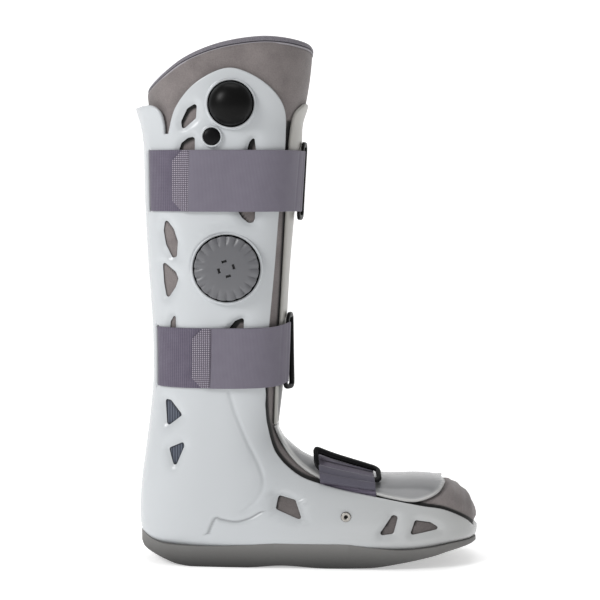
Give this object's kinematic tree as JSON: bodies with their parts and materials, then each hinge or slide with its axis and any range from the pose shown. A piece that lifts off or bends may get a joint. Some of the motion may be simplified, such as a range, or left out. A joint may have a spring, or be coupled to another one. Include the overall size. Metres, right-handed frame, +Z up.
{
  "type": "medical walking boot",
  "caption": "Tall rigid walking boot: windowed plastic shell and shin panel, rocker sole, padded open liner, hook and loop straps, air bulb, release button and selector dial.",
  "frame": {"origin": "on the floor, on the flat of the sole's heel, in the mid-plane under the middle of the leg", "axes": "+X to the toes, +Z up the leg, the side with the dial and the bulb at -Y"},
  "size_m": [0.2884, 0.1399, 0.4403],
  "materials": {
    "white_shell": "satin moulded",
    "glossy_plate": "gloss",
    "liner_cloth": "brushed loop cloth",
    "binding_cloth": "bound edge",
    "sole_rubber": "matte",
    "webbing": "woven",
    "hook_grid": "hook tape",
    "black_plastic": "satin",
    "black_rubber": "matte",
    "grey_plastic": "satin",
    "rivet_metal": "dull"
  },
  "bodies": {
    "boot": {"rear_shell": "white_shell", "shin_panel": "white_shell", "foot_panel": "glossy_plate", "liner": "liner_cloth", "liner_binding": "binding_cloth", "sole": "sole_rubber", "upper_strap": "webbing", "upper_tab": "hook_grid", "upper_ring": "black_plastic", "lower_strap": "webbing", "lower_tab": "hook_grid", "lower_ring": "black_plastic", "toe_strap": "webbing", "toe_ring": "black_plastic", "pump_bulb": "black_rubber", "rivet_near": "rivet_metal", "rivet_far": "rivet_metal"},
    "dial": {"dial": "grey_plastic"},
    "button": {"release_button": "black_plastic"}
  },
  "joints": [
    {"name": "dial_turn", "type": "hinge", "parent": "boot", "child": "dial", "pos_m": [0.00635, -0.057, 0.25108], "axis": [0, -1, 0], "range_deg": [-90, 90]},
    {"name": "release_press", "type": "slide", "parent": "boot", "child": "button", "axis": [0, 1, 0], "range_m": [0, 0.0015], "stiffness_N_per_m": 600}
  ]
}
